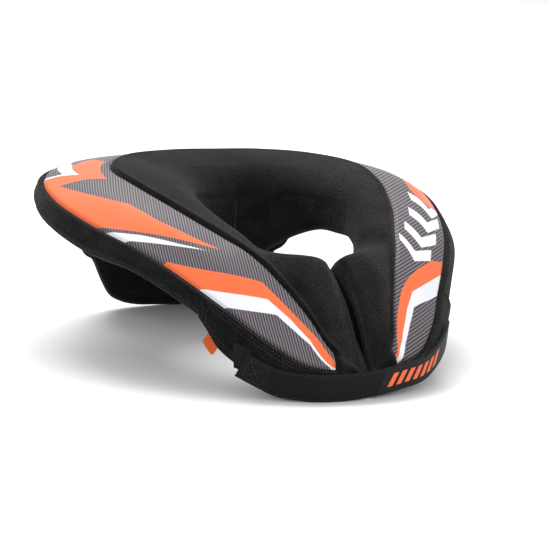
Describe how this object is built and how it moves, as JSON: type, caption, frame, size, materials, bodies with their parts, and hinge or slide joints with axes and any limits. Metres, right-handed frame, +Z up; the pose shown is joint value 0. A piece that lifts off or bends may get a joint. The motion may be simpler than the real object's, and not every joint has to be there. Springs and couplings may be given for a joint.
{
  "type": "motocross neck brace",
  "caption": "Padded horseshoe neck brace, open at the front, with printed side panels, a webbing strap across the front, a pull tab and a hanging back flap.",
  "frame": {"origin": "centre of the bounding box in X and Y, on the surface that the brace rests on", "axes": "+Z up, front towards -Y, the wearer's right towards -X"},
  "size_m": [0.3286, 0.281, 0.1318],
  "materials": {
    "cover": "black brushed knit over foam",
    "print": "smooth printed fabric, orange, white and grey stripes",
    "patch": "black fabric with two rows of stitches",
    "webbing": "black ribbed webbing",
    "anchor_webbing": "dark grey webbing",
    "label": "smoother black webbing with an orange woven pattern",
    "tab": "orange ribbed ribbon"
  },
  "bodies": {
    "root": {"collar_body": "cover", "panel_right": "print", "panel_left": "print", "anchor_patch_right": "patch", "anchor_patch_left": "patch", "strap_anchor": "anchor_webbing", "strap_web": "webbing", "strap_label": "label", "back_flap": "cover", "pull_tab": "tab"}
  },
  "joints": []
}
